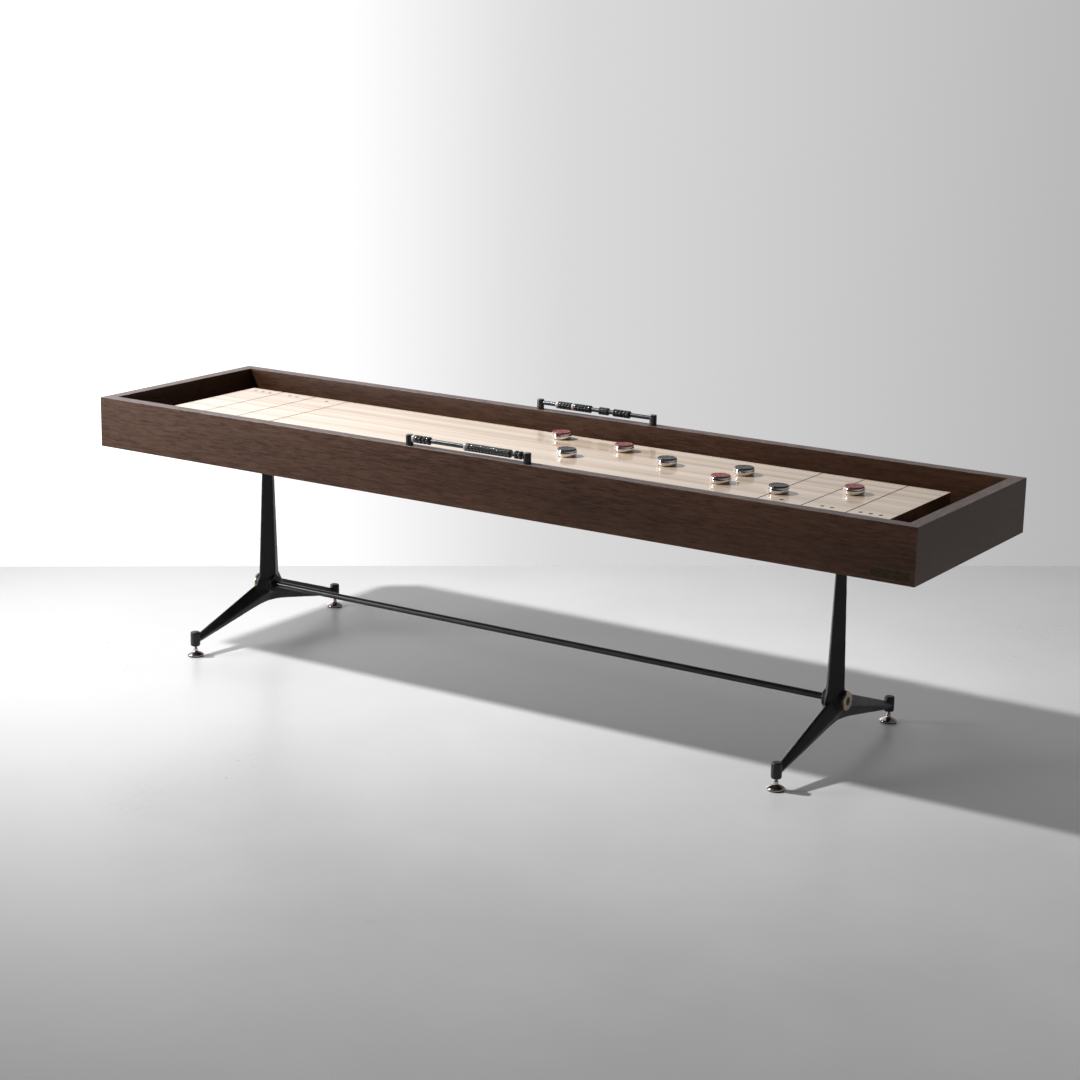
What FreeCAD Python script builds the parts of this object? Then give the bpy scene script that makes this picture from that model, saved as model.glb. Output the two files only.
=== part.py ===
"""Nine-foot shuffleboard table: timber cabinet, laminated playfield, two cast three-legged
pedestals joined by a stretcher rod, four levelling feet, two bead scorers and eight weights.

Frame: millimetres, +Z up, +X along the table, origin on the floor under the table's centre.
Each document object whose Label is in NODES is one sub-part and becomes parts/LABEL.step.
"""

import FreeCAD, Part
import math
import os
import re
import Sketcher

V = FreeCAD.Vector
doc = FreeCAD.newDocument("shuffleboard_table")
sheet = doc.addObject("Spreadsheet::Sheet", "dims")
NODES = []

# ---------------------------------------------------------------- driving dimensions
DIMENSIONS = {
    # cabinet
    "table_length": 2743, "table_width": 710, "rail_top": 770, "rail_height": 154,
    "rail_thick": 38, "rail_round": 1.2, "panel_thick": 20,
    "spline_thick": 5, "spline_width": 30, "spline_height": 100, "spline_base": 636,
    # playfield
    "field_length": 2438, "field_width": 397, "field_top": 736, "field_thick": 76,
    "bearer_width": 90, "bearer_length": 380,
    # pedestal casting
    "leg_x": 1008, "foot_y": 347.6, "hub_z": 160, "hub_radius": 28, "hub_inner": 36,
    "hub_outer": 29, "edge_half": 2.5, "column_inset": 7, "column_half_x_top": 14.5,
    "column_half_y_top": 22.5, "column_half_x_low": 28.2, "column_half_y_low": 45,
    "column_low_z": 190, "flare_z": 145, "flare_half_x": 24, "flare_half_y": 72,
    "arm_half_x_hub": 27, "arm_under_half_hub": 9, "arm_top_hub": 182, "arm_under_hub": 107,
    "arm_half_x_end": 14, "arm_under_half_end": 7, "arm_top_end": 62.7, "arm_under_end": 40,
    "arm_end_y": 345, "arch_round": 450, "arch_reach": 110, "arch_depth": 30,
    "socket_radius": 15, "socket_low": 32, "socket_high": 77.5, "socket_round": 2.5,
    "socket_bore_top": 74,
    # stretcher and hub hardware
    "rod_radius": 9.5, "collar_radius": 14.5, "collar_length": 4, "ring_radius": 26,
    "ring_thick": 4, "ring_seat_radius": 12, "ring_seat_depth": 2.6, "hub_bolt_radius": 5,
    "hub_bolt_length": 32, "hub_bolt_head": 11, "hub_bolt_head_height": 3,
    "hub_key_radius": 3.6,
    # leg mounting
    "plate_length": 84, "plate_width": 200, "plate_thick": 6, "column_bolt_radius": 3,
    "column_bolt_y": 10, "column_bolt_depth": 26, "bolt_head_radius": 5, "bolt_head_height": 6,
    "wood_screw_radius": 2.5, "plate_screw_length": 36, "plate_screw_x": 30,
    "plate_screw_y": 80, "board_screw_length": 78, "board_screw_y": 150,
    # levelling feet
    "stem_radius": 5, "run_gap": 0.05, "stem_low": 10, "stem_high": 60, "stem_tip": 1,
    "pad_base_radius": 23.5, "pad_base": 3, "pad_radius": 25.5, "pad_rim": 6.5,
    "pad_dome_radius": 17, "pad_dome": 11.6, "pad_neck_radius": 6.6, "pad_neck_low": 15.5,
    "pad_neck_high": 25,
    # scorers
    "scorer_y": 339, "post_x": 200, "post_radius": 11, "post_height": 31, "post_round": 2.5,
    "wire_radius": 6.3, "wire_above_rail": 20.5, "wire_in_post": 5, "bead_radius": 11.5,
    "bead_pitch": 11.15, "bead_length": 10.95, "bead_round": 3.2, "stud_radius": 3,
    "stud_in_rail": 25, "stud_in_post": 11,
    # weights
    "weight_belly_radius": 30.48, "weight_belly": 9, "weight_belly_round": 12,
    "weight_foot_radius": 24.6, "weight_foot_round": 2, "weight_height": 18.3,
    "weight_shoulder_radius": 27.6, "cap_radius": 27.4, "cap_height": 3.9, "cap_round": 1.2,
    "cap_dish_radius": 22, "cap_dish_slope": 2, "cap_dish_depth": 1.4,
    "cap_spigot_radius": 17, "cap_spigot_depth": 4,
    # name plate
    "badge_length": 113, "badge_height": 28.5, "badge_thick": 1.5, "badge_sink": 0.5,
    "badge_x": 1304.3,
    "badge_z": 638.6, "badge_pin_radius": 1.6, "badge_pin_depth": 12, "badge_pin_x": 51,
}
# each run of beads: its rail, its left end, then its pale marker beads and dark beads in
# order, with a number where the next bead stands that far off
BEAD_RUNS = {
    "front_beads_left": ("front", -188.2, ["marker", "dark", "dark", 4, "dark", 2, "dark"]),
    "front_beads_middle": ("front", -9.2, ["marker"] + ["dark"] * 13),
    "front_beads_right": ("front", 159.6, ["dark", 2.2, "dark"]),
    "rear_beads_left": ("rear", -140.5, ["marker"] + ["dark"] * 4 + [0.6, "marker"]
                        + ["dark"] * 3 + [1] + ["dark"] * 2),
    "rear_beads_middle": ("rear", 12.0, ["dark"] * 3),
    "rear_beads_right": ("rear", 62.0, ["dark", "dark", 0.9, "dark", 1.8, "dark", "dark"]),
}
# resting place of each weight's centre on the playfield
WEIGHTS = {
    "red_1": (4, 142), "red_2": (243, 103), "red_3": (664, -83), "red_4": (1016, 22),
    "black_1": (146, -52), "black_2": (435, 20), "black_3": (668, 46), "black_4": (848, -94),
}
BEARER_X = (-1008, -504, 0, 504, 1008)
SIDES = (("left", -1), ("right", 1))

for row, (alias, value) in enumerate(DIMENSIONS.items(), start=1):
    sheet.set(f"A{row}", alias)
    sheet.set(f"B{row}", str(value))
    sheet.setAlias(f"B{row}", alias)
doc.recompute()


def size(alias):
    """Value of a driving dimension, for the few places that no expression reaches."""
    return float(sheet.get(alias))


# ---------------------------------------------------------------- helpers
def bound(text):
    """An expression written with bare aliases, each given its sheet's name."""
    return re.sub(r"[a-z]\w+", lambda word: prefixed(word.group()), text)


def prefixed(word):
    return "dims." + word if word in DIMENSIONS else word


def bind(item, **expressions):
    """Bind properties to expressions; PlaceX, PlaceY and PlaceZ are the placement's base."""
    for name, text in expressions.items():
        path = {"PlaceX": "Placement.Base.x", "PlaceY": "Placement.Base.y",
                "PlaceZ": "Placement.Base.z"}.get(name, name)
        item.setExpression(path, bound(text))
    return item


def node(item, label):
    """Mark a document object as a finished sub-part."""
    item.Label = label
    NODES.append(item)
    return item


def box(name, length, width, height, x, y, z):
    """A box given by expressions for its three sizes and its low corner."""
    item = doc.addObject("Part::Box", name)
    return bind(item, Length=length, Width=width, Height=height, PlaceX=x, PlaceY=y, PlaceZ=z)


def cylinder(name, radius, height, x, y, z, axis=V(0, 0, 1)):
    """A cylinder from the point x, y, z along axis."""
    item = doc.addObject("Part::Cylinder", name)
    item.Placement = FreeCAD.Placement(V(), FreeCAD.Rotation(V(0, 0, 1), axis))
    return bind(item, Radius=radius, Height=height, PlaceX=x, PlaceY=y, PlaceZ=z)


def group(name, items):
    """Separate solids kept together in one object."""
    item = doc.addObject("Part::Compound", name)
    item.Links = items
    return item


def fuse(name, items):
    item = doc.addObject("Part::MultiFuse", name)
    item.Shapes = items
    return item


def cut(name, base, tool):
    item = doc.addObject("Part::Cut", name)
    item.Base = base
    item.Tool = tool
    return item


def new_body(name):
    return doc.addObject("PartDesign::Body", name)


def origin_plane(body, role):
    """One of a body's own origin planes, found by its role."""
    return next(feature for feature in body.Origin.OriginFeatures if feature.Role == role)


def sketch_on(body, name, role, offset=None):
    """An empty sketch on one of the body's origin planes, moved along the plane's normal."""
    sketch = body.newObject("Sketcher::SketchObject", name)
    sketch.AttachmentSupport = [(origin_plane(body, role), "")]
    sketch.MapMode = "FlatFace"
    if offset:
        sketch.setExpression("AttachmentOffset.Base.z", bound(offset))
    return sketch


def pin_point(sketch, edge, end, horizontal, vertical):
    """Hold one end of a sketch edge at a place given by two expressions."""
    for kind, text in (("DistanceX", horizontal), ("DistanceY", vertical)):
        index = sketch.addConstraint(
            Sketcher.Constraint(kind, -1, 1, edge, end, value_of(text)))
        sketch.setExpression(f"Constraints[{index}]", bound(text))


def value_of(text):
    """The present value of an expression, where a sketch's drawing starts from."""
    return float(sheet.evalExpression(bound(text)))


def polygon(sketch, points):
    """A closed outline through points, each a pair of expressions."""
    places = [V(value_of(a), value_of(b), 0) for a, b in points]
    count = len(places)
    for index in range(count):
        line = Part.LineSegment(places[index], places[(index + 1) % count])
        sketch.addGeometry(line, False)
    for index in range(count):
        sketch.addConstraint(
            Sketcher.Constraint("Coincident", index, 2, (index + 1) % count, 1))
    for index, (horizontal, vertical) in enumerate(points):
        pin_point(sketch, index, 1, horizontal, vertical)


def circle(sketch, radius, x="0", y="0"):
    """A circle with its centre and radius bound to expressions."""
    place = V(value_of(x), value_of(y), 0)
    index = sketch.addGeometry(
        Part.Circle(place, V(0, 0, 1), value_of(radius)), False)
    pin_point(sketch, index, 3, x, y)
    held = sketch.addConstraint(
        Sketcher.Constraint("Radius", index, value_of(radius)))
    sketch.setExpression(f"Constraints[{held}]", bound(radius))


def pad(body, name, profile, length, midplane=False, reverse=False):
    feature = body.newObject("PartDesign::Pad", name)
    feature.Profile = profile
    feature.Midplane = midplane
    feature.Reversed = reverse
    return bind(feature, Length=length)


def pocket(body, name, profile, length, reverse=False):
    """A pocket that must take material away."""
    before = body.Tip.Shape.Volume
    feature = body.newObject("PartDesign::Pocket", name)
    feature.Profile = profile
    feature.Reversed = reverse
    bind(feature, Length=length)
    doc.recompute()
    if feature.Shape.Volume > before - 1:
        raise RuntimeError(f"{body.Name}.{name} cuts nothing")
    return feature


def round_edges(body, name, radius, wanted):
    """A fillet on the tip's edges that the test wanted() accepts."""
    doc.recompute()
    tip = body.Tip
    names = [f"Edge{i}" for i, edge in enumerate(tip.Shape.Edges, start=1) if wanted(edge)]
    if not names:
        raise RuntimeError(f"{body.Name}.{name} found no edge")
    feature = body.newObject("PartDesign::Fillet", name)
    feature.Base = (tip, names)
    bind(feature, Radius=radius)
    doc.recompute()
    return feature


def ends(edge):
    return [vertex.Point for vertex in edge.Vertexes]


def revolved(name, profile, smooth=()):
    """A solid of revolution about Z from (radius, height) expression pairs."""
    body = new_body(name)
    sketch = sketch_on(body, name + "_profile", "XZ_Plane")
    polygon(sketch, profile)
    turn = body.newObject("PartDesign::Revolution", name + "_turn")
    turn.Profile = sketch
    turn.ReferenceAxis = (sketch, ["V_Axis"])
    turn.Angle = 360
    for index, (radius, corners) in enumerate(smooth):
        places = [(value_of(a), value_of(b)) for a, b in corners]

        def is_corner(edge, places=places):
            curve = edge.Curve
            if not isinstance(curve, Part.Circle):
                return False
            centre = curve.Center
            return any(math.isclose(curve.Radius, r, abs_tol=0.01)
                       and math.isclose(centre.z, height, abs_tol=0.01)
                       for r, height in places)

        round_edges(body, f"{name}_round{index}", radius, is_corner)
    return body


# ---------------------------------------------------------------- screws, bolts and splines
def corner_splines():
    """Four splines, one square across each mitre, standing in slots in both rails."""
    items = []
    reach = "(spline_width + spline_thick) / sqrt(8)"
    slide = "(spline_width - spline_thick) / sqrt(8)"
    for sign_x in (-1, 1):
        for sign_y in (-1, 1):
            item = doc.addObject("Part::Box", "spline")
            turn = -45 * sign_x * sign_y
            item.Placement = FreeCAD.Placement(V(), FreeCAD.Rotation(V(0, 0, 1), turn))
            low_x = f"-{slide}" if turn > 0 else f"-{reach}"
            low_y = f"-{reach}" if turn > 0 else slide
            bind(item, Length="spline_width", Width="spline_thick", Height="spline_height",
                 PlaceX=f"{sign_x} * (table_length - rail_thick) / 2 + {low_x}",
                 PlaceY=f"{sign_y} * (table_width - rail_thick) / 2 + {low_y}",
                 PlaceZ="spline_base")
            items.append(item)
    return group("corner_splines", items)


def countersunk(name, length, x, y):
    """A wood screw driven upwards, its countersunk head flush with the table's underside."""
    head = doc.addObject("Part::Cone", name + "_head")
    low = "rail_top - rail_height"
    bind(head, Radius1="wood_screw_radius * 2", Radius2="wood_screw_radius",
         Height="wood_screw_radius", PlaceX=x, PlaceY=y, PlaceZ=low)
    shank = cylinder(name + "_shank", "wood_screw_radius", length, x, y, low)
    return fuse(name, [head, shank])


def plate_screws():
    items = []
    for _, side in SIDES:
        for along in (-1, 1):
            for across in (-1, 1):
                items.append(countersunk("plate_screw", "plate_screw_length",
                                         f"{side} * (leg_x - column_inset) + "
                                         f"{along} * plate_screw_x",
                                         f"{across} * plate_screw_y"))
    return group("leg_plate_screws", items)


def board_screws():
    items = []
    for x in BEARER_X:
        for across in (-1, 1):
            items.append(countersunk("board_screw", "board_screw_length", str(x),
                                     f"{across} * board_screw_y"))
    return group("playfield_screws", items)


def column_bolts():
    """Two cap screws through each mounting plate into the top of the column."""
    items = []
    top = "rail_top - rail_height + plate_thick"
    for _, side in SIDES:
        for across in (-1, 1):
            x = f"{side} * (leg_x - column_inset)"
            y = f"{across} * column_bolt_y"
            shank = cylinder("column_shank", "column_bolt_radius",
                             "column_bolt_depth + plate_thick", x, y,
                             "rail_top - rail_height - column_bolt_depth")
            head = cylinder("column_head", "bolt_head_radius", "bolt_head_height", x, y, top)
            items.append(fuse("column_bolt", [shank, head]))
    return group("column_bolts", items)


def post_studs():
    items = []
    for side in (-1, 1):
        for end in (-1, 1):
            items.append(cylinder("post_stud", "stud_radius", "stud_in_rail + stud_in_post",
                                  f"{end} * post_x", f"{side} * scorer_y",
                                  "rail_top - stud_in_rail"))
    return group("scorer_post_studs", items)


# ---------------------------------------------------------------- cabinet
def rail(label, along_x, sign, tools):
    """A mitred rail: outer face on the table's edge, inner face rail_thick inside it."""
    body = new_body(label + "_blank")
    sketch = sketch_on(body, label + "_plan", "XY_Plane", "rail_top - rail_height")
    outer_x = "table_length / 2"
    outer_y = "table_width / 2"
    if along_x:
        points = [("-(%s)" % outer_x, "%d * %s" % (sign, outer_y)),
                  (outer_x, "%d * %s" % (sign, outer_y)),
                  (f"{outer_x} - rail_thick", f"{sign} * ({outer_y} - rail_thick)"),
                  (f"rail_thick - {outer_x}", f"{sign} * ({outer_y} - rail_thick)")]
    else:
        points = [("%d * %s" % (sign, outer_x), "-(%s)" % outer_y),
                  ("%d * %s" % (sign, outer_x), outer_y),
                  (f"{sign} * ({outer_x} - rail_thick)", f"{outer_y} - rail_thick"),
                  (f"{sign} * ({outer_x} - rail_thick)", f"rail_thick - {outer_y}")]
    polygon(sketch, points)
    pad(body, label + "_board", sketch, "rail_height")
    top = size("rail_top")

    def is_top_arris(edge):
        places = ends(edge)
        level = all(math.isclose(place.z, top, abs_tol=0.01) for place in places)
        return level and edge.Length > size("rail_thick") * 2

    round_edges(body, label + "_arris", "rail_round", is_top_arris)
    return node(cut(label, body, tools), label)


def badge():
    """The blank name plate, let flush into the front rail with a sunk field inside its rim."""
    plate = new_body("badge_blank")
    front = "table_width / 2"
    sketch = sketch_on(plate, "badge_outline", "XZ_Plane", front)
    half_x = "badge_length / 2"
    half_z = "badge_height / 2"
    polygon(sketch, [(f"badge_x - {half_x}", f"badge_z - {half_z}"),
                     (f"badge_x + {half_x}", f"badge_z - {half_z}"),
                     (f"badge_x + {half_x}", f"badge_z + {half_z}"),
                     (f"badge_x - {half_x}", f"badge_z + {half_z}")])
    pad(plate, "badge_sheet", sketch, "badge_thick", reverse=True)
    field = sketch_on(plate, "badge_field", "XZ_Plane", front)
    rim = "badge_thick"
    polygon(field, [(f"badge_x - {half_x} + {rim}", f"badge_z - {half_z} + {rim}"),
                    (f"badge_x + {half_x} - {rim}", f"badge_z - {half_z} + {rim}"),
                    (f"badge_x + {half_x} - {rim}", f"badge_z + {half_z} - {rim}"),
                    (f"badge_x - {half_x} + {rim}", f"badge_z + {half_z} - {rim}")])
    doc.recompute()
    pocket(plate, "badge_sunk", field, "badge_sink")
    blank = box("badge_recess", "badge_length", "badge_thick", "badge_height",
                f"badge_x - {half_x}", f"-({front})", f"badge_z - {half_z}")
    pins = []
    for end in (-1, 1):
        pins.append(cylinder("badge_pin", "badge_pin_radius", "badge_pin_depth",
                             f"badge_x + {end} * badge_pin_x", f"badge_sink / 2 - {front}",
                             "badge_z", V(0, 1, 0)))
    pins = group("name_plate_pins", pins)
    return plate, blank, pins


def cabinet():
    splines = node(corner_splines(), "corner_splines")
    studs = node(post_studs(), "scorer_post_studs")
    plate, recess, pins = badge()
    node(cut("name_plate", plate, pins), "name_plate")
    node(pins, "name_plate_pins")
    tools = group("rail_tools", [splines, studs, recess, pins])
    rail("front_rail", True, -1, tools)
    rail("rear_rail", True, 1, tools)
    rail("left_end_rail", False, -1, tools)
    rail("right_end_rail", False, 1, tools)
    return studs


def mounting_plates(bolts, screws):
    blanks = []
    for _, side in SIDES:
        blanks.append(box("plate_blank", "plate_length", "plate_width", "plate_thick",
                          f"{side} * (leg_x - column_inset) - plate_length / 2", "-plate_width / 2",
                          "rail_top - rail_height"))
    plates = cut("leg_mounting_plates", group("plate_blanks", blanks),
                 group("plate_holes", [bolts, screws]))
    node(plates, "leg_mounting_plates")
    return blanks


def cabinet_inside():
    """Bottom panel, bearers and playfield, with the screws and plates that hold the legs."""
    bolts = node(column_bolts(), "column_bolts")
    leg_screws = node(plate_screws(), "leg_plate_screws")
    field_screws = node(board_screws(), "playfield_screws")
    plate_blanks = mounting_plates(bolts, leg_screws)
    inner_length = "table_length - 2 * rail_thick"
    inner_width = "table_width - 2 * rail_thick"
    under = "rail_top - rail_height"
    panel = box("panel_blank", inner_length, inner_width, "panel_thick",
                f"-({inner_length}) / 2", f"-({inner_width}) / 2", under)
    holes = group("panel_holes", plate_blanks + [bolts, leg_screws, field_screws])
    node(cut("bottom_panel", panel, holes), "bottom_panel")
    bearers = []
    rise = "field_top - field_thick - rail_top + rail_height - panel_thick"
    for x in BEARER_X:
        bearers.append(box("bearer", "bearer_width", "bearer_length", rise,
                           f"{x} - bearer_width / 2", "-bearer_length / 2",
                           f"{under} + panel_thick"))
    screws = group("bearer_holes", [leg_screws, field_screws])
    node(cut("playfield_bearers", group("bearer_blanks", bearers), screws), "playfield_bearers")
    board = new_body("playfield_blank")
    sketch = sketch_on(board, "playfield_plan", "XY_Plane", "field_top - field_thick")
    half_x = "field_length / 2"
    half_y = "field_width / 2"
    polygon(sketch, [(f"-({half_x})", f"-({half_y})"), (half_x, f"-({half_y})"),
                     (half_x, half_y), (f"-({half_x})", half_y)])
    pad(board, "playfield_slab", sketch, "field_thick")
    node(cut("playfield", board, field_screws), "playfield")
    return bolts


# ---------------------------------------------------------------- pedestals
def diamond(sketch, centre, half_ridge, low, high, half_low="edge_half"):
    """A six-sided section: ridges at the two sides, narrow flats at the top and bottom."""
    middle = f"({low} + {high}) / 2"
    polygon(sketch, [(f"{centre} + {half_ridge}", middle), (f"{centre} + edge_half", high),
                     (f"{centre} - edge_half", high), (f"{centre} - {half_ridge}", middle),
                     (f"{centre} - {half_low}", low), (f"{centre} + {half_low}", low)])


def additive_loft(body, name, first, second):
    loft = body.newObject("PartDesign::AdditiveLoft", name)
    loft.Profile = first
    loft.Sections = [second]
    loft.Ruled = True
    doc.recompute()
    return loft


def arch_web(body, label):
    """Fills the corner under the hub, so that the two arms meet in a low arch."""
    web = sketch_on(body, label + "_outline", "YZ_Plane")
    under = "arm_under_hub - (arm_under_hub - arm_under_end) / arm_end_y * arch_reach"
    polygon(web, [("-arch_reach", under), ("0", "arm_under_hub"), ("arch_reach", under),
                  ("arch_reach", f"{under} + arch_depth"),
                  ("-arch_reach", f"{under} + arch_depth")])
    pad(body, label + "_web", web, "2 * arm_under_half_end", midplane=True)
    thick = 2 * size("arm_under_half_end")

    def is_arch_corner(edge):
        a, b = ends(edge)
        across = math.isclose(abs(a.x - b.x), thick, abs_tol=0.01)
        return across and math.isclose(a.y, 0, abs_tol=0.01)

    round_edges(body, label + "_arch", "arch_round", is_arch_corner)


def casting(label, side, bolts, rod):
    """One pedestal: a tapering column and two splayed arms of ridged section about a hub."""
    body = new_body(label + "_blank")
    arch_web(body, label)
    upper = sketch_on(body, label + "_column_top", "XY_Plane", "rail_top - rail_height")
    diamond(upper, "-column_inset", "column_half_x_top", "-column_half_y_top",
            "column_half_y_top")
    lower = sketch_on(body, label + "_column_low", "XY_Plane", "column_low_z")
    diamond(lower, "-column_inset", "column_half_x_low", "-column_half_y_low",
            "column_half_y_low")
    additive_loft(body, label + "_column", upper, lower)
    spread = sketch_on(body, label + "_column_foot", "XY_Plane", "flare_z")
    diamond(spread, "-column_inset", "flare_half_x", "-flare_half_y", "flare_half_y")
    additive_loft(body, label + "_flare", lower, spread)
    for word, way in (("near", -1), ("far", 1)):
        root = sketch_on(body, f"{label}_{word}_root", "XZ_Plane")
        diamond(root, "0", "arm_half_x_hub", "arm_under_hub", "arm_top_hub",
                "arm_under_half_hub")
        tip = sketch_on(body, f"{label}_{word}_tip", "XZ_Plane", f"{-way} * arm_end_y")
        diamond(tip, "0", "arm_half_x_end", "arm_under_end", "arm_top_end",
                "arm_under_half_end")
        additive_loft(body, f"{label}_{word}_arm", root, tip)
    hub = sketch_on(body, label + "_hub_circle", "YZ_Plane", "-hub_inner")
    circle(hub, "hub_radius", "0", "hub_z")
    pad(body, label + "_hub", hub, "hub_inner + hub_outer")
    for word, way in (("near", -1), ("far", 1)):
        ring = sketch_on(body, f"{label}_{word}_socket_circle", "XY_Plane", "socket_low")
        circle(ring, "socket_radius", "0", f"{way} * foot_y")
        pad(body, f"{label}_{word}_socket", ring, "socket_high - socket_low")
    rims = (size("socket_low"), size("socket_high"))

    def is_socket_rim(edge):
        curve = edge.Curve
        if not isinstance(curve, Part.Circle):
            return False
        level = any(math.isclose(curve.Center.z, rim, abs_tol=0.01) for rim in rims)
        return level and math.isclose(curve.Radius, size("socket_radius"), abs_tol=0.01)

    round_edges(body, label + "_socket_rims", "socket_round", is_socket_rim)
    for word, way in (("near", -1), ("far", 1)):
        bore = sketch_on(body, f"{label}_{word}_bore_circle", "XY_Plane", "socket_low")
        circle(bore, "stem_radius + run_gap", "0", f"{way} * foot_y")
        pocket(body, f"{label}_{word}_bore", bore, "socket_bore_top - socket_low", True)
    body.Placement.Rotation = FreeCAD.Rotation(V(0, 0, 1), 0 if side > 0 else 180)
    bind(body, PlaceX=f"{side} * leg_x")
    return node(cut(label, body, group(label + "_holes", [bolts, rod])), label)


def stretcher():
    """The round bar between the pedestals, tapped at both ends for the hub bolts."""
    half = "leg_x + hub_outer"
    bar = cylinder("stretcher_bar", "rod_radius", f"2 * ({half})", f"-({half})", "0", "hub_z",
                   V(1, 0, 0))
    bolts = []
    rings = []
    collars = []
    for _, side in SIDES:
        axis = V(side, 0, 0)
        face = f"{side} * ({half})"
        seat = f"{side} * ({half} + ring_thick - ring_seat_depth)"
        shank = cylinder("hub_shank", "hub_bolt_radius", "hub_bolt_length",
                         f"{side} * ({half} + ring_thick - ring_seat_depth - hub_bolt_length)",
                         "0", "hub_z", axis)
        head = cylinder("hub_head", "hub_bolt_head", "hub_bolt_head_height", seat, "0",
                        "hub_z", axis)
        key = cylinder("hub_key", "hub_key_radius", "hub_bolt_head_height / 2",
                       f"{side} * ({half} + ring_thick - ring_seat_depth"
                       " + hub_bolt_head_height / 2)", "0", "hub_z", axis)
        bolts.append(cut("hub_bolt", fuse("hub_bolt_body", [shank, head]), key))
        disc = cylinder("ring_disc", "ring_radius", "ring_thick", face, "0", "hub_z", axis)
        sink = cylinder("ring_seat", "ring_seat_radius", "ring_seat_depth", seat, "0", "hub_z",
                        axis)
        rings.append(cut("hub_ring", cut("ring_sunk", disc, sink),
                         cylinder("ring_hole", "hub_bolt_radius", "ring_thick", face, "0",
                                  "hub_z", axis)))
        place = f"{side} * (leg_x - hub_inner - collar_length)"
        tube = cylinder("collar_tube", "collar_radius", "collar_length", place, "0", "hub_z",
                        axis)
        collars.append(cut("rod_collar", tube, bar))
    bolts = node(group("hub_bolts", bolts), "hub_bolts")
    node(group("hub_rings", rings), "hub_rings")
    node(group("rod_collars", collars), "rod_collars")
    node(cut("stretcher_rod", bar, bolts), "stretcher_rod")
    return bar


def levelling_foot(label, x, y):
    """A domed pad that stands on the floor, and the threaded stem that turns in its socket."""
    bore = "stem_radius + run_gap"
    pad_profile = [(bore, "stem_low"), (bore, "pad_neck_high"),
                   ("pad_neck_radius", "pad_neck_high"), ("pad_neck_radius", "pad_neck_low"),
                   ("pad_dome_radius", "pad_dome"), ("pad_radius", "pad_rim"),
                   ("pad_radius", "pad_base"), ("pad_base_radius", "pad_base"),
                   ("pad_base_radius", "0"), ("0", "0"), ("0", "stem_low")]
    disc = revolved(label + "_pad", pad_profile)
    bind(disc, PlaceX=x, PlaceY=y)
    node(disc, label + "_pad")
    stem = revolved(label + "_stem", [("0", "stem_low"), ("stem_radius", "stem_low"),
                                      ("stem_radius", "stem_high - stem_tip"),
                                      ("stem_radius - stem_tip", "stem_high"),
                                      ("0", "stem_high")])
    bind(stem, PlaceX=x, PlaceY=y)
    node(stem, label + "_stem")


# ---------------------------------------------------------------- scorers
def scorer(word, way, studs):
    """Two posts and the wire between them."""
    wire_z = "rail_top + wire_above_rail"
    half = "post_x + wire_in_post"
    wire = cylinder(word + "_wire", "wire_radius", f"2 * ({half})", f"-({half})",
                    f"{way} * scorer_y", wire_z, V(1, 0, 0))
    node(wire, word + "_scorer_wire")
    posts = []
    for end in (-1, 1):
        body = revolved(f"{word}_post", [("0", "0"), ("post_radius", "0"),
                                         ("post_radius", "post_height"), ("0", "post_height")],
                        [("post_round", [("post_radius", "post_height")])])
        bind(body, PlaceX=f"{end} * post_x", PlaceY=f"{way} * scorer_y", PlaceZ="rail_top")
        posts.append(body)
    holes = group(word + "_post_holes", [wire, studs])
    node(cut(word + "_posts", group(word + "_post_blanks", posts), holes),
         word + "_scorer_posts")


def bead(x, way):
    """One ring-shaped bead, bored to run on the wire, with rounded outer edges."""
    half = "bead_length / 2"
    body = revolved("bead", [("wire_radius + run_gap", f"-({half})"), ("bead_radius", f"-({half})"),
                             ("bead_radius", half), ("wire_radius + run_gap", half)],
                    [("bead_round", [("bead_radius", f"-({half})"), ("bead_radius", half)])])
    body.Placement.Rotation = FreeCAD.Rotation(V(0, 1, 0), 90)
    return bind(body, PlaceX=x, PlaceY=f"{way} * scorer_y", PlaceZ="rail_top + wire_above_rail")


def bead_run(label, rail_word, start, kinds):
    """Beads in a row on the wire: the pale markers and the dark beads are two nodes."""
    way = -1 if rail_word == "front" else 1
    made = {"marker": [], "dark": []}
    gaps = 0
    index = 0
    for kind in kinds:
        if kind in made:
            made[kind].append(bead(f"{start} + {gaps} + ({index} + 0.5) * bead_pitch", way))
            index += 1
        else:
            gaps += kind
    for kind, items in made.items():
        if items:
            name = f"{label}_{kind}"
            node(group(name, items), name)


# ---------------------------------------------------------------- weights
def weight(name, x, y):
    """A steel weight with a screwed-in plastic cap, lying on the playfield."""
    spigot_z = "weight_height - cap_spigot_depth"
    foot = ("weight_foot_radius", "0")
    belly = ("weight_belly_radius", "weight_belly")
    steel = revolved(f"weight_{name}_steel",
                     [("0", "0"), foot, belly, ("weight_shoulder_radius", "weight_height"),
                      ("cap_spigot_radius", "weight_height"), ("cap_spigot_radius", spigot_z),
                      ("0", spigot_z)],
                     [("weight_foot_round", [foot]), ("weight_belly_round", [belly])])
    bind(steel, PlaceX=str(x), PlaceY=str(y), PlaceZ="field_top")
    node(steel, f"weight_{name}_steel")
    high = "weight_height + cap_height"
    floor = f"{high} - cap_dish_depth"
    cap = revolved(f"weight_{name}_cap",
                   [("0", spigot_z), ("cap_spigot_radius", spigot_z),
                    ("cap_spigot_radius", "weight_height"), ("cap_radius", "weight_height"),
                    ("cap_radius", high), ("cap_dish_radius", high),
                    ("cap_dish_radius - cap_dish_slope", floor), ("0", floor)],
                   [("cap_round", [("cap_radius", high)])])
    bind(cap, PlaceX=str(x), PlaceY=str(y), PlaceZ="field_top")
    node(cap, f"weight_{name}_cap")


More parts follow.
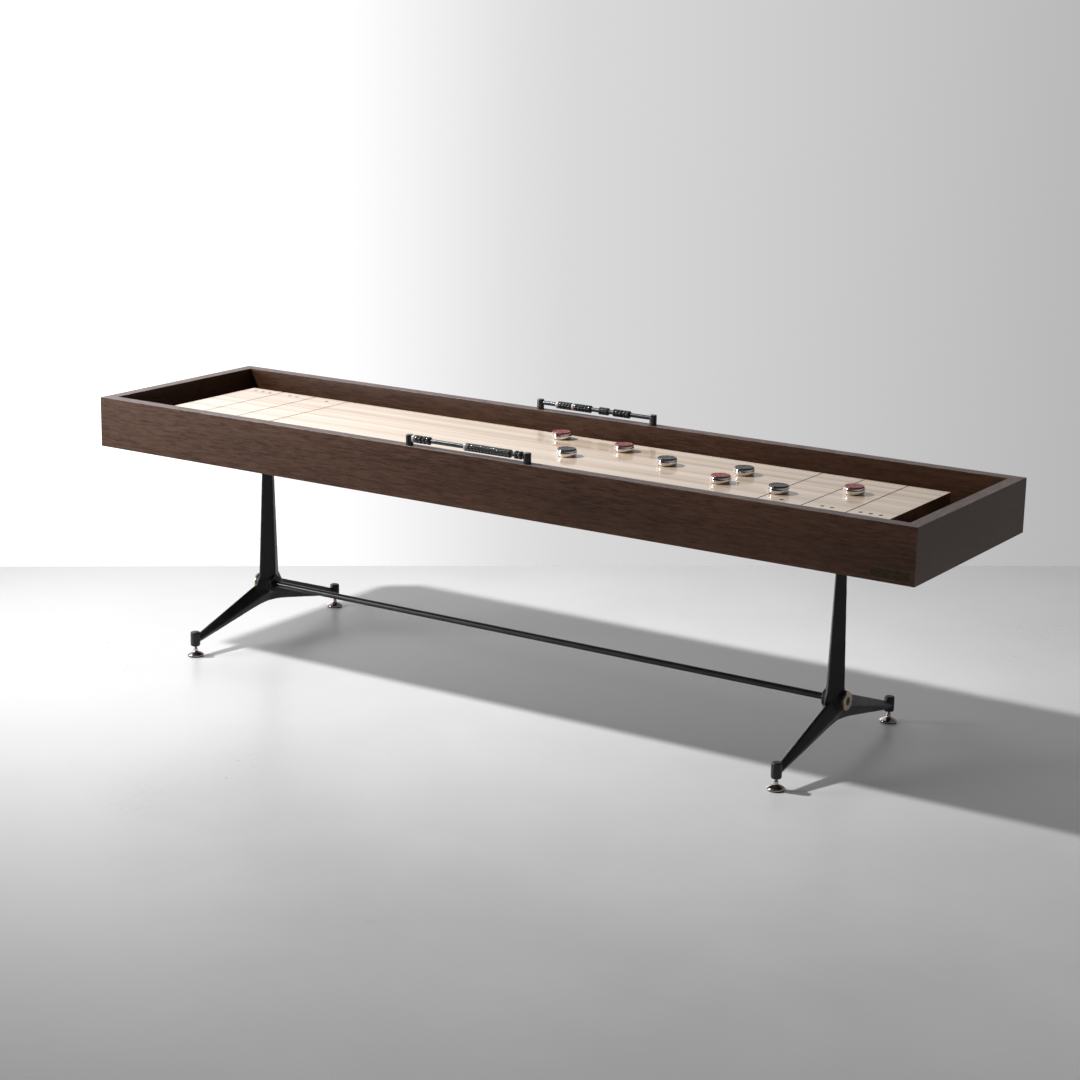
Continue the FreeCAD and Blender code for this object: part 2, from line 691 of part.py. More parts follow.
# ---------------------------------------------------------------- assembly
def build():
    studs = cabinet()
    bolts = cabinet_inside()
    bar = stretcher()
    for word, side in SIDES:
        casting(word + "_pedestal", side, bolts, bar)
        for row, way in (("front", -1), ("rear", 1)):
            levelling_foot(f"{row}_{word}_foot", f"{side} * leg_x", f"{way} * foot_y")
    scorer("front", -1, studs)
    scorer("rear", 1, studs)
    for label, (rail_word, start, kinds) in BEAD_RUNS.items():
        bead_run(label, rail_word, start, kinds)
    for name, (x, y) in WEIGHTS.items():
        weight(name, x, y)


def check():
    """Stop on any object that failed, and on any sub-part that is empty or not valid."""
    for item in doc.Objects:
        if "Invalid" in item.State or "Error" in item.State:
            raise RuntimeError(f"{item.Name} failed: {item.State}")
    for item in NODES:
        if item.Shape.isNull() or not item.Shape.isValid() or not item.Shape.Solids:
            raise RuntimeError(f"{item.Label} is not a valid solid")


build()
doc.recompute()
check()
os.makedirs("parts", exist_ok=True)
for item in NODES:
    item.Shape.exportStep(f"parts/{item.Label}.step")
print(len(NODES), "sub-parts written")
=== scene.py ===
import math

import bpy
from mathutils import Matrix, Vector

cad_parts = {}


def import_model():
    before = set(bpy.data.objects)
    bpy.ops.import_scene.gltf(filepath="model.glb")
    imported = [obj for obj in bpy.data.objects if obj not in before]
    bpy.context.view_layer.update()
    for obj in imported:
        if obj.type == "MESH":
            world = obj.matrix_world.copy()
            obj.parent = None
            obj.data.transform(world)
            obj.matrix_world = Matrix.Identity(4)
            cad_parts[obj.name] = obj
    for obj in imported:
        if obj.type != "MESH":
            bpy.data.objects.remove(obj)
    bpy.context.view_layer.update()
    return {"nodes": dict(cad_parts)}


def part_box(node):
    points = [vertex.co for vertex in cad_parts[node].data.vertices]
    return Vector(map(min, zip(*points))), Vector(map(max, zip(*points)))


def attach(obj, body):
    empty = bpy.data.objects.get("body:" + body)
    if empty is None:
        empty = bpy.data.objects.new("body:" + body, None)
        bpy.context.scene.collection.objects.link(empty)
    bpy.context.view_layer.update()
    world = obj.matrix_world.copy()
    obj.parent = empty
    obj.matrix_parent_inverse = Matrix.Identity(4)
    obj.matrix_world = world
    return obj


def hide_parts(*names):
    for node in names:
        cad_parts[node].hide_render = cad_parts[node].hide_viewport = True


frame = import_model()

MM = 0.001
NODES = frame["nodes"]
TABLE = "table"


# ---------------------------------------------------------------- shader nodes

def new_material(name, colour, roughness, metallic=0.0, **sockets):
    """A material with one Principled shader, and the tree and shader to build on."""
    mat = bpy.data.materials.new(name)
    mat.use_nodes = True
    tree = mat.node_tree
    shader = tree.nodes["Principled BSDF"]
    shader.inputs["Base Color"].default_value = (*colour, 1.0)
    shader.inputs["Roughness"].default_value = roughness
    shader.inputs["Metallic"].default_value = metallic
    for socket, value in sockets.items():
        shader.inputs[socket.replace("_", " ")].default_value = value
    return mat, tree, shader


def put(tree, socket, value):
    """Sets a socket to a number or a vector, or links another node's output to it."""
    if isinstance(value, bpy.types.NodeSocket):
        tree.links.new(value, socket)
    else:
        socket.default_value = value


def place(tree, scale=(1, 1, 1), location=(0, 0, 0), rotation=(0, 0, 0)):
    """The object's own coordinates in metres, moved, turned and stretched."""
    source = tree.nodes.new("ShaderNodeTexCoord").outputs["Object"]
    mapping = tree.nodes.new("ShaderNodeMapping")
    tree.links.new(source, mapping.inputs["Vector"])
    mapping.inputs["Scale"].default_value = scale
    mapping.inputs["Location"].default_value = location
    mapping.inputs["Rotation"].default_value = rotation
    return mapping.outputs["Vector"]


def split(tree, vector):
    """The x, y and z sockets of a vector."""
    node = tree.nodes.new("ShaderNodeSeparateXYZ")
    put(tree, node.inputs[0], vector)
    return node.outputs


def join(tree, x, y, z):
    """A vector from three values, each a number or a socket."""
    node = tree.nodes.new("ShaderNodeCombineXYZ")
    for socket, value in zip(node.inputs, (x, y, z)):
        put(tree, socket, value)
    return node.outputs[0]


def calc(tree, operation, a, b=0.0, c=0.0):
    """A Math node's result."""
    node = tree.nodes.new("ShaderNodeMath")
    node.operation = operation
    for socket, value in zip(node.inputs, (a, b, c)):
        put(tree, socket, value)
    return node.outputs[0]


def noise(tree, vector, scale=1.0, detail=2.0, roughness=0.5, distortion=0.0):
    """A Noise Texture's value, about 0.5 on average."""
    node = tree.nodes.new("ShaderNodeTexNoise")
    put(tree, node.inputs["Vector"], vector)
    node.inputs["Scale"].default_value = scale
    node.inputs["Detail"].default_value = detail
    node.inputs["Roughness"].default_value = roughness
    node.inputs["Distortion"].default_value = distortion
    return node.outputs[0]


def span(tree, value, low, high, to_low=0.0, to_high=1.0):
    """A value from low to high becomes one from to_low to to_high, clamped."""
    node = tree.nodes.new("ShaderNodeMapRange")
    for socket, number in zip(node.inputs, (value, low, high, to_low, to_high)):
        put(tree, socket, number)
    return node.outputs[0]


def ramp(tree, factor, *stops):
    """A colour ramp from (position, colour) stops."""
    node = tree.nodes.new("ShaderNodeValToRGB")
    put(tree, node.inputs[0], factor)
    elements = node.color_ramp.elements
    while len(elements) < len(stops):
        elements.new(0.5)
    for element, (position, colour) in zip(elements, stops):
        element.position = position
        element.color = (*colour, 1.0)
    return node.outputs[0]


def blend(tree, factor, a, b, mode="MIX"):
    """Two colours mixed."""
    node = tree.nodes.new("ShaderNodeMix")
    node.data_type = "RGBA"
    node.blend_type = mode
    put(tree, node.inputs["Factor"], factor)
    for socket, colour in ((node.inputs[6], a), (node.inputs[7], b)):
        put(tree, socket, (*colour, 1.0) if isinstance(colour, tuple) else colour)
    return node.outputs[2]


def bump(tree, shader, height, depth):
    """Relief of that depth in metres."""
    node = tree.nodes.new("ShaderNodeBump")
    node.inputs["Strength"].default_value = 1.0
    node.inputs["Distance"].default_value = depth
    put(tree, node.inputs["Height"], height)
    tree.links.new(node.outputs[0], shader.inputs["Normal"])


# ------------------------------------------------------------------- materials

def walnut(name, along, seed=0.0, tone=1.0, top=None):
    """Dark oiled walnut with its grain along x or y of the part; its face at height top is painted paler, a
    painted sheen that stands in for the reflection on the rail tops.
    """
    mat, tree, shader = new_material(name, (0.05, 0.03, 0.02), 0.42, Specular_IOR_Level=0.26)
    turn = {"x": (0, 0, 0), "y": (0, 0, math.pi / 2)}[along]
    base = place(tree, rotation=turn, location=(seed, seed * 0.37, seed * 0.71))
    x, y, z = split(tree, base)

    def stretched(lengthwise, across):
        """The part's coordinates, scaled apart along and across the grain."""
        return join(tree, calc(tree, "MULTIPLY", x, lengthwise), calc(tree, "MULTIPLY", y, across),
                    calc(tree, "MULTIPLY", z, across))

    blotch = noise(tree, stretched(2.2, 7.0), detail=3.0, roughness=0.6)
    drift = noise(tree, stretched(1.1, 4.0), detail=2.0)
    rings = noise(tree, join(tree, calc(tree, "MULTIPLY", x, 1.3), calc(tree, "MULTIPLY", y, 30.0),
                             calc(tree, "MULTIPLY_ADD", drift, 5.0, calc(tree, "MULTIPLY", z, 30.0))),
                  detail=6.0, roughness=0.62)
    streak = noise(tree, stretched(22.0, 210.0), detail=5.0, roughness=0.66)
    flecks = noise(tree, stretched(90.0, 420.0), detail=3.0, roughness=0.6)
    pores = noise(tree, stretched(60.0, 1500.0), detail=1.0)
    tint = calc(tree, "ADD", calc(tree, "MULTIPLY", rings, 0.20), calc(tree, "MULTIPLY", streak, 0.22))
    tint = calc(tree, "ADD", tint, calc(tree, "MULTIPLY", blotch, 0.32))
    tint = calc(tree, "ADD", tint, calc(tree, "MULTIPLY", flecks, 0.26))
    dark, middle, light = (0.022, 0.0080, 0.0036), (0.041, 0.0168, 0.0082), (0.077, 0.0350, 0.0190)
    dark, middle, light = (tuple(tone * v for v in c) for c in (dark, middle, light))
    colour = ramp(tree, tint, (0.36, dark), (0.5, middle), (0.66, light))
    pit = span(tree, pores, 0.36, 0.43)
    colour = blend(tree, calc(tree, "MULTIPLY", calc(tree, "SUBTRACT", 1.0, pit), 0.55), colour, dark)
    edge = tree.nodes.new("ShaderNodeNewGeometry").outputs["Pointiness"]
    worn = calc(tree, "MULTIPLY", span(tree, edge, 0.53, 0.62), span(tree, streak, 0.35, 0.6))
    colour = blend(tree, calc(tree, "MULTIPLY", worn, 0.5), colour, tuple(1.6 * v for v in light))
    if top is not None:
        height = split(tree, place(tree))[2]
        # Painted sheen: the top face gets a paler, greyer colour in place of the reflection of the bright
        # room on the rail tops.
        painted_top_sheen = ramp(tree, streak, (0.38, (0.040, 0.024, 0.020)), (0.5, (0.080, 0.052, 0.046)),
                      (0.62, (0.17, 0.122, 0.112)))
        colour = blend(tree, span(tree, height, top - 1.3 * MM, top - 0.5 * MM), colour, painted_top_sheen)
    put(tree, shader.inputs["Base Color"], colour)
    put(tree, shader.inputs["Roughness"], span(tree, streak, 0.3, 0.7, 0.32, 0.46))
    relief = calc(tree, "ADD", calc(tree, "MULTIPLY", pit, 0.6), calc(tree, "MULTIPLY", streak, 0.4))
    bump(tree, shader, relief, 0.000035)
    return mat


def maple(name, box):
    """A board of glued maple strips under a thick clear finish, stained dark on its sides and ends."""
    lo, hi = box
    strips = 12
    arris = 1.2 * MM
    mat, tree, shader = new_material(name, (0.6, 0.5, 0.4), 0.35, Coat_Weight=0.75, Coat_Roughness=0.08,
                                     Coat_IOR=1.5)
    x, y, z = split(tree, place(tree))
    row = calc(tree, "DIVIDE", calc(tree, "SUBTRACT", y, lo.y), (hi.y - lo.y) / strips)
    index = calc(tree, "FLOOR", row)
    within = calc(tree, "FRACT", row)
    white = tree.nodes.new("ShaderNodeTexWhiteNoise")
    white.noise_dimensions = "1D"
    put(tree, white.inputs["W"], calc(tree, "ADD", index, 3.3))
    chance = white.outputs["Value"]
    shift = calc(tree, "MULTIPLY", index, 7.31)

    def grained(lengthwise, across):
        """Coordinates that differ from strip to strip, scaled apart along and across the grain."""
        return join(tree, calc(tree, "MULTIPLY_ADD", x, lengthwise, shift), calc(tree, "MULTIPLY", y, across),
                    shift)

    long_grain = noise(tree, grained(0.9, 60.0), detail=5.0, roughness=0.6)
    fine = noise(tree, grained(5.0, 420.0), detail=3.0, roughness=0.6)
    cloud = noise(tree, grained(1.5, 8.0), detail=2.0)
    tint = calc(tree, "ADD", calc(tree, "MULTIPLY", long_grain, 0.5), calc(tree, "MULTIPLY", fine, 0.14))
    tint = calc(tree, "ADD", tint, calc(tree, "MULTIPLY", cloud, 0.2))
    tint = calc(tree, "ADD", tint, calc(tree, "MULTIPLY", chance, 0.16))
    top = ramp(tree, tint, (0.32, (0.34, 0.220, 0.138)), (0.45, (0.54, 0.405, 0.295)),
               (0.60, (0.67, 0.55, 0.44)))
    seam = span(tree, calc(tree, "ABSOLUTE", calc(tree, "SUBTRACT", within, 0.5)), 0.487, 0.497)
    top = blend(tree, calc(tree, "MULTIPLY", seam, 0.35), top, (0.33, 0.22, 0.15))
    stain = noise(tree, join(tree, calc(tree, "MULTIPLY", x, 8.0), calc(tree, "MULTIPLY", y, 160.0),
                             calc(tree, "MULTIPLY", z, 12.0)), detail=4.0, roughness=0.6)
    side = ramp(tree, calc(tree, "MULTIPLY_ADD", chance, 0.25, calc(tree, "MULTIPLY", stain, 0.75)),
                (0.3, (0.018, 0.0090, 0.0052)), (0.5, (0.048, 0.025, 0.0145)), (0.7, (0.105, 0.058, 0.034)))
    is_top = span(tree, z, hi.z - arris, hi.z - 0.75 * arris)
    put(tree, shader.inputs["Base Color"], blend(tree, is_top, side, top))
    put(tree, shader.inputs["Roughness"], span(tree, fine, 0.3, 0.7, 0.32, 0.42))
    bump(tree, shader, long_grain, 0.00002)
    return mat


def coated(name, colour, roughness, grain=900.0, depth=0.00002, **sockets):
    """A painted or moulded surface with a fine even texture and slight unevenness of gloss."""
    mat, tree, shader = new_material(name, colour, roughness, **sockets)
    where = place(tree)
    cloud = noise(tree, where, scale=14.0, detail=3.0)
    lighter = tuple(min(1.0, v * 1.5 + 0.004) for v in colour)
    put(tree, shader.inputs["Base Color"], ramp(tree, cloud, (0.35, colour), (0.75, lighter)))
    put(tree, shader.inputs["Roughness"], span(tree, cloud, 0.3, 0.7, roughness - 0.05, roughness + 0.07))
    bump(tree, shader, noise(tree, where, scale=grain, detail=2.0), depth)
    return mat


def swirled(name, dark, light):
    """Moulded plastic with a cloudy swirl in it and a fingerworn shine."""
    mat, tree, shader = new_material(name, dark, 0.3, Specular_IOR_Level=0.4)
    where = place(tree)
    cloud = noise(tree, where, scale=95.0, detail=5.0, roughness=0.62, distortion=1.2)
    put(tree, shader.inputs["Base Color"], ramp(tree, cloud, (0.36, dark), (0.66, light)))
    put(tree, shader.inputs["Roughness"], span(tree, cloud, 0.3, 0.7, 0.26, 0.44))
    bump(tree, shader, noise(tree, where, scale=420.0, detail=3.0), 0.00008)
    return mat


def turned_brass(name, axis_y, axis_z):
    """Brass faced on a lathe: fine rings round an axis along x."""
    mat, tree, shader = new_material(name, (0.66, 0.52, 0.35), 0.3, metallic=1.0)
    x, y, z = split(tree, place(tree, location=(0, -axis_y, -axis_z)))
    squared = calc(tree, "ADD", calc(tree, "MULTIPLY", y, y), calc(tree, "MULTIPLY", z, z))
    radius = calc(tree, "SQRT", squared)
    turned = join(tree, calc(tree, "MULTIPLY", radius, 2600.0), calc(tree, "MULTIPLY", x, 900.0), 0.0)
    rings = noise(tree, turned, detail=3.0, roughness=0.6)
    cloud = noise(tree, place(tree), scale=70.0, detail=4.0)
    colour = ramp(tree, cloud, (0.3, (0.42, 0.31, 0.20)), (0.62, (0.70, 0.56, 0.39)))
    put(tree, shader.inputs["Base Color"], colour)
    put(tree, shader.inputs["Roughness"], span(tree, rings, 0.3, 0.7, 0.22, 0.42))
    bump(tree, shader, rings, 0.00002)
    return mat


def plate_bronze(name, front):
    """Darkened bronze whose raised rim has been rubbed bright."""
    mat, tree, shader = new_material(name, (0.10, 0.07, 0.04), 0.4, metallic=0.8)
    x, y, z = split(tree, place(tree))
    cloud = noise(tree, join(tree, calc(tree, "MULTIPLY", x, 60.0), 0.0, calc(tree, "MULTIPLY", z, 160.0)),
                  detail=4.0, roughness=0.6)
    field = ramp(tree, cloud, (0.3, (0.030, 0.020, 0.011)), (0.7, (0.062, 0.042, 0.024)))
    rim = ramp(tree, cloud, (0.3, (0.055, 0.040, 0.025)), (0.7, (0.13, 0.10, 0.065)))
    sunk = span(tree, y, front + 0.15 * MM, front + 0.3 * MM)
    put(tree, shader.inputs["Base Color"], blend(tree, sunk, rim, field))
    put(tree, shader.inputs["Roughness"], span(tree, cloud, 0.3, 0.7, 0.36, 0.5))
    bump(tree, shader, cloud, 0.00004)
    return mat


def metal(name, colour, roughness, grain=(60.0, 60.0, 60.0), depth=0.000008, worn=0.08):
    """Metal with faint brushing or scratches that run along the direction with the smallest grain."""
    mat, tree, shader = new_material(name, colour, roughness, metallic=1.0)
    lines = noise(tree, place(tree, scale=grain), detail=4.0, roughness=0.65)
    cloud = noise(tree, place(tree, scale=(25.0, 25.0, 25.0)), detail=3.0)
    duller = tuple(v * 0.72 for v in colour)
    put(tree, shader.inputs["Base Color"], ramp(tree, cloud, (0.3, duller), (0.6, colour)))
    rough = calc(tree, "MULTIPLY_ADD", lines, worn * 2, roughness - worn)
    put(tree, shader.inputs["Roughness"], calc(tree, "MAXIMUM", rough, 0.03))
    bump(tree, shader, lines, depth)
    return mat


# ----------------------------------------------------------------- mesh pieces

def mesh_piece(name, vertices, faces, mat, body, replaced=(), smooth=True):
    """A new mesh of the object, riding on a body and standing for the CAD nodes it replaces."""
    mesh = bpy.data.meshes.new(name)
    mesh.from_pydata([tuple(v) for v in vertices], [], faces)
    mesh.validate()
    mesh.update()
    for polygon in mesh.polygons:
        polygon.use_smooth = smooth
    if smooth:
        mesh.set_sharp_from_angle(angle=math.radians(38))
    piece = bpy.data.objects.new(name, mesh)
    bpy.context.scene.collection.objects.link(piece)
    mesh.materials.append(mat)
    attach(piece, body)
    if replaced:
        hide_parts(*replaced)
    return piece


def rounded(points, radius, steps=5):
    """A profile whose inner corners are rounded with arcs of about that radius."""
    out = [Vector(points[0])]
    for before, here, after in zip(points, points[1:], points[2:]):
        here = Vector(here)
        a, b = Vector(before) - here, Vector(after) - here
        cut = min(radius, a.length * 0.49, b.length * 0.49)
        start, end = here + a.normalized() * cut, here + b.normalized() * cut
        for i in range(steps + 1):
            t = i / steps
            out.append((1 - t) ** 2 * start + 2 * t * (1 - t) * here + t ** 2 * end)
    out.append(Vector(points[-1]))
    return out


def lathe(profile, axis_point, axis="z", segments=96, shape=None):
    """Vertices and faces of a turned form. The profile is (radius, height) along the axis, both in metres.

    The axis is "z", "x", or "-x" for heights that grow towards the left. shape(angle, radius, height)
    may return a changed (radius, height).
    """
    vertices, faces, rings = [], [], []
    for radius, height in profile:
        ring = []
        count = 1 if radius < 1e-7 else segments
        for i in range(count):
            angle = 2 * math.pi * i / segments
            r, h = shape(angle, radius, height) if shape and count > 1 else (radius, height)
            local = (r * math.cos(angle), r * math.sin(angle), h)
            if axis == "x":
                local = (local[2], local[0], local[1])
            elif axis == "-x":
                local = (-local[2], local[1], local[0])
            ring.append(len(vertices))
            vertices.append(Vector(axis_point) + Vector(local))
        rings.append(ring)
    for low, high in zip(rings, rings[1:]):
        for i in range(segments):
            j = (i + 1) % segments
            if len(low) == 1 and len(high) == 1:
                break
            if len(low) == 1:
                faces.append((low[0], high[i], high[j]))
            elif len(high) == 1:
                faces.append((low[i], low[j], high[0]))
            else:
                faces.append((low[i], low[j], high[j], high[i]))
    return vertices, faces


def together(parts):
    """Several (vertices, faces) as one."""
    vertices, faces = [], []
    for some_vertices, some_faces in parts:
        offset = len(vertices)
        vertices.extend(some_vertices)
        faces.extend(tuple(i + offset for i in face) for face in some_faces)
    return vertices, faces


# ---------------------------------------------------------------- the finishes

def finish_cad_nodes(mats):
    """Each CAD node that keeps its own shape gets its material and, where it is sharp, an eased edge."""
    plan = {
        "front_rail": "walnut_front", "rear_rail": "walnut_rear",
        "left_end_rail": "walnut_left", "right_end_rail": "walnut_right",
        "corner_splines": "walnut_front", "playfield": "maple", "bottom_panel": "ply",
        "playfield_bearers": "ply", "leg_mounting_plates": "casting", "left_pedestal": "casting",
        "right_pedestal": "casting", "stretcher_rod": "bar", "rod_collars": "bar",
        "hub_rings": "brass", "name_plate": "bronze", "name_plate_pins": "bronze",
        "column_bolts": "steel", "leg_plate_screws": "steel", "playfield_screws": "steel",
        "scorer_post_studs": "steel",
        "front_scorer_wire": "wire", "rear_scorer_wire": "wire",
        "front_scorer_posts": "post", "rear_scorer_posts": "post",
    }
    for node, finish in plan.items():
        NODES[node].data.materials.clear()
        NODES[node].data.materials.append(mats[finish])
    for node, width in (("playfield", 0.8), ("hub_rings", 0.7), ("rod_collars", 0.8), ("name_plate", 0.25),
                        ("leg_mounting_plates", 0.8)):
        ease = NODES[node].modifiers.new("eased", "BEVEL")
        ease.width = width * MM
        ease.segments = 3
        ease.limit_method = "ANGLE"
        ease.angle_limit = math.radians(40)
    for node, thing in NODES.items():
        if "_beads_" in node:
            thing.data.materials.clear()
            thing.data.materials.append(mats["bead_dark" if node.endswith("dark") else "bead_pale"])


def soften_castings():
    """The castings' ridges and corners run into each other as they leave a sand mould."""
    for node in ("left_pedestal", "right_pedestal"):
        thing = NODES[node]
        skin = thing.modifiers.new("skin", "REMESH")
        skin.mode = "VOXEL"
        skin.voxel_size = 2.4 * MM
        skin.use_smooth_shade = True
        flow = thing.modifiers.new("flow", "SMOOTH")
        flow.factor = 0.5
        flow.iterations = 9


def make_materials():
    """Every finish of the table by name."""
    hub_lo, hub_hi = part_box("hub_rings")
    plate_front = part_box("name_plate")[0].y
    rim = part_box("front_rail")[1].z
    return {
        "walnut_front": walnut("walnut_front", "x", seed=0.0, top=rim),
        "walnut_rear": walnut("walnut_rear", "x", seed=3.1, top=rim),
        "walnut_left": walnut("walnut_left", "y", seed=5.7, top=rim),
        "walnut_right": walnut("walnut_right", "y", seed=9.2, top=rim),
        "maple": maple("maple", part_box("playfield")),
        "ply": walnut("stained_ply", "x", seed=12.4, tone=0.9),
        "casting": coated("black_casting", (0.0085, 0.008, 0.008), 0.40, grain=700.0, depth=0.00005,
                          Specular_IOR_Level=0.38),
        "bar": coated("black_bar", (0.008, 0.008, 0.008), 0.32),
        "post": coated("black_post", (0.008, 0.008, 0.009), 0.22, depth=0.000006, Coat_Weight=0.3),
        "brass": turned_brass("turned_brass", (hub_lo.y + hub_hi.y) / 2, (hub_lo.z + hub_hi.z) / 2),
        "bronze": plate_bronze("old_bronze", plate_front),
        "steel": metal("screw_steel", (0.42, 0.42, 0.43), 0.35),
        "chrome": metal("polished_chrome", (0.78, 0.77, 0.77), 0.07, worn=0.03),
        "nickel": metal("foot_nickel", (0.50, 0.45, 0.43), 0.13, worn=0.05),
        "rubber": coated("foot_rubber", (0.012, 0.012, 0.012), 0.7, depth=0.00004),
        "wire": metal("dark_wire", (0.10, 0.11, 0.12), 0.24, (8.0, 500.0, 500.0)),
        "bead_dark": coated("bead_black", (0.005, 0.0055, 0.007), 0.14, depth=0.000004, Coat_Weight=0.8,
                            Coat_Roughness=0.06),
        "bead_pale": coated("bead_horn", (0.27, 0.235, 0.215), 0.22, depth=0.000006),
        "cap_red": swirled("cap_red", (0.085, 0.009, 0.007), (0.30, 0.048, 0.038)),
        "cap_black": swirled("cap_black", (0.006, 0.006, 0.007), (0.035, 0.035, 0.038)),
        "ink": coated("line_black", (0.004, 0.0035, 0.0035), 0.5, depth=0.000004, Specular_IOR_Level=0.2),
    }


# --------------------------------------------------------------------- weights

def weights(mats):
    """Eight shuffleboard weights: a barrel-shaped chromed steel body under a scalloped plastic cap."""
    lift = 0.1 * MM
    for colour in ("red", "black"):
        for number in range(1, 5):
            name = f"weight_{colour}_{number}"
            steel_lo, steel_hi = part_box(name + "_steel")
            cap_lo, cap_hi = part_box(name + "_cap")
            centre = (steel_lo + steel_hi) / 2
            foot = Vector((centre.x, centre.y, steel_lo.z + lift))
            vertices, faces = lathe(barrel((steel_hi.x - steel_lo.x) / 2, steel_hi.z - steel_lo.z), foot)
            mesh_piece(name + "_body", vertices, faces, mats["chrome"], name, [name + "_steel"])
            cap_base = Vector((centre.x, centre.y, steel_hi.z))
            vertices, faces = cap((cap_hi.x - cap_lo.x) / 2, cap_hi.z - steel_hi.z, cap_base)
            mesh_piece(name + "_top", vertices, faces, mats["cap_" + colour], name,
                       [name + "_cap"])
            top = cap_base + Vector((0, 0, (cap_hi.z - steel_hi.z) * 0.8))
            vertices, faces = lathe(screw_head(), top, segments=32)
            mesh_piece(name + "_screw", vertices, faces, mats["bar"], name)


def screw_head():
    """The outline of the socket screw that holds a weight's cap, from below its head upwards."""
    outline = [(0, -0.9), (1.4, -0.9), (1.5, -0.1), (2.7, -0.1), (3.0, -0.5), (3.0, -2.0), (0, -2.0)]
    return rounded([(r * MM, h * MM) for r, h in outline], 0.2 * MM, 2)[::-1]


def barrel(radius, height):
    """The outline of a weight's steel body, hollowed a little underneath."""
    outline = [(0, 0.03), (0.72, 0.03), (0.75, 0), (0.80, 0), (0.87, 0.03), (0.925, 0.12), (0.965, 0.24),
               (0.992, 0.38), (1.0, 0.50), (0.998, 0.62), (0.985, 0.78), (0.965, 0.92), (0.945, 0.985),
               (0.92, 1.0), (0.0, 1.0)]
    return rounded([(r * radius, h * height) for r, h in outline], 1.6 * MM, 4)


def cap(radius, height, base):
    """A plastic cap with twelve shallow finger scallops round a dished top."""
    lobes = 12
    depth = 0.8 * MM
    dish = 0.78

    def scalloped(angle, r, h):
        """The rim drawn in and down at each finger, fading towards the cap's lower edge."""
        if r <= dish * radius:
            return r, h
        dip = (0.5 - 0.5 * math.cos(lobes * angle)) ** 1.5
        grow = max(0.0, min(1.0, h / height * 2.0))
        sink = 0.4 * depth * dip if h > 0.8 * height else 0.0
        return r - depth * dip * grow, h - sink

    outline = [(0, -0.3), (0.90, -0.3), (0.97, 0.0), (1.0, 0.14), (1.0, 0.50), (0.975, 0.88), (0.94, 1.0),
               (0.88, 0.99), (0.83, 0.86), (dish, 0.80), (0.14, 0.78), (0.12, 0.70), (0, 0.70)]
    profile = rounded([(r * radius, h * height) for r, h in outline], 1.0 * MM, 4)
    return lathe(profile, base, segments=192, shape=scalloped)


# ------------------------------------------------------------------ hub bolts

def hub_bolts(mats):
    """A button-headed bolt with a hexagon socket at each end of the stretcher."""
    lo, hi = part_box("hub_bolts")
    radius = (hi.z - lo.z) / 2
    flat = 3.4 * MM
    shank = 5 * MM
    in_rod = 24 * MM
    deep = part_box("stretcher_rod")[1].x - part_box("hub_rings")[1].x - in_rod

    def hexagon(angle, r, h):
        """The socket's round outline turned into a hexagon."""
        if r > flat * 1.3:
            return r, h
        return r / math.cos((angle + math.pi / 6) % (math.pi / 3) - math.pi / 6), h

    outline = [(0, -2.0 * MM), (flat, -2.0 * MM), (flat, -0.3 * MM), (flat * 1.2, 0), (flat * 1.6, 0),
               (radius * 0.9, -0.2 * MM), (radius, -1.1 * MM), (radius, -3.0 * MM), (shank, -3.0 * MM),
               (shank, deep), (0, deep)]
    profile = rounded(outline, 0.5 * MM, 3)[::-1]
    parts = []
    for face, axis in ((hi.x, "x"), (lo.x, "-x")):
        parts.append(lathe(profile, (face, (lo.y + hi.y) / 2, (lo.z + hi.z) / 2), axis, 72, hexagon))
    vertices, faces = together(parts)
    mesh_piece("hub_bolt_pair", vertices, faces, mats["bar"], TABLE, ["hub_bolts"])


# ------------------------------------------------------------------------ feet

def feet(mats):
    """Domed pads on rubber soles, each on a threaded stem."""
    for row in ("front", "rear"):
        for side in ("left", "right"):
            name = f"{row}_{side}_foot"
            lo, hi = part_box(name + "_pad")
            centre = Vector(((lo.x + hi.x) / 2, (lo.y + hi.y) / 2, lo.z))
            radius = (hi.x - lo.x) / 2
            vertices, faces = lathe(pad_dome(radius), centre)
            mesh_piece(name + "_dome", vertices, faces, mats["nickel"], name + "_pad",
                       [name + "_pad"])
            vertices, faces = lathe(pad_sole(radius), centre)
            mesh_piece(name + "_sole", vertices, faces, mats["rubber"], name + "_pad")
            stem_lo, stem_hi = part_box(name + "_stem")
            base = Vector((centre.x, centre.y, stem_lo.z))
            vertices, faces = stem((stem_hi.x - stem_lo.x) / 2, stem_hi.z - stem_lo.z, base)
            mesh_piece(name + "_screw", vertices, faces, mats["steel"], name + "_stem",
                       [name + "_stem"])


def pad_dome(radius):
    """The outline of a pad, from its underside over the dome to the bottom of the neck's bore."""
    bore = 5.05 * MM
    bore_floor = 9.9 * MM
    underside = 2.6 * MM
    outline = [(0, underside), (radius * 0.90, underside), (radius * 0.97, 3.0 * MM), (radius, 4.0 * MM),
               (radius * 0.985, 6.3 * MM), (radius * 0.90, 8.4 * MM), (radius * 0.66, 11.8 * MM),
               (radius * 0.40, 14.4 * MM), (6.9 * MM, 16.2 * MM), (6.6 * MM, 24.4 * MM),
               (6.2 * MM, 25.0 * MM), (bore, 25.0 * MM), (bore, bore_floor), (0, bore_floor)]
    return rounded(outline, 1.4 * MM, 4)


def pad_sole(radius):
    """The outline of the rubber sole, a shallow ring of which stands on the floor."""
    outline = [(0, 0.5 * MM), (radius * 0.80, 0.5 * MM), (radius * 0.84, 0), (radius * 0.90, 0),
               (radius * 0.93, 0.6 * MM), (radius * 0.93, 3.2 * MM), (0, 3.2 * MM)]
    return rounded(outline, 0.5 * MM, 3)


